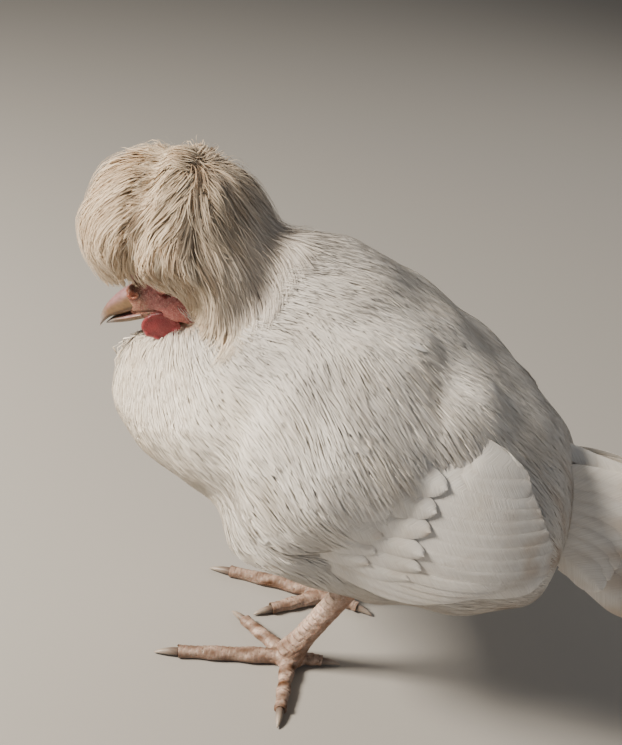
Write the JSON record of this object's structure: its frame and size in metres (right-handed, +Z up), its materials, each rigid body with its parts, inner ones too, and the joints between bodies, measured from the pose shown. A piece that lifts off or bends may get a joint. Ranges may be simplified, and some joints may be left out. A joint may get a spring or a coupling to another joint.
{
  "type": "crested hen",
  "caption": "Life-size white hen at rest on both feet, hunched, with a globe of crest feathers over its eyes, folded wings and a drooping tail.",
  "frame": {"origin": "on the floor, under the middle of the whole bird's bounding box", "axes": "+X towards the tail, so the bird faces -X; +Y towards the bird's right side; +Z up"},
  "size_m": [0.3438, 0.1556, 0.2425],
  "materials": {
    "plumage": "matte",
    "neck_plumage": "matte",
    "face": "satin",
    "eye": "gloss",
    "bill": "satin",
    "comb": "satin",
    "wattle": "satin",
    "crest": "matte",
    "wing": "matte",
    "tail": "matte",
    "shank": "satin",
    "claw": "satin"
  },
  "bodies": {
    "root": {"torso": "plumage", "neck": "neck_plumage", "head": "face", "eye_left": "eye", "eye_right": "eye", "bill_upper": "bill", "bill_lower": "bill", "comb": "comb", "wattle_left": "wattle", "wattle_right": "wattle", "crest": "crest", "wing_left": "wing", "wing_right": "wing", "tail": "tail", "thigh_left": "plumage", "thigh_right": "plumage", "shank_left": "shank", "shank_right": "shank", "foot_left": "shank", "foot_right": "shank", "claw_left_middle": "claw", "claw_left_outer": "claw", "claw_left_inner": "claw", "claw_left_hind": "claw", "claw_right_middle": "claw", "claw_right_outer": "claw", "claw_right_inner": "claw", "claw_right_hind": "claw"}
  },
  "joints": []
}
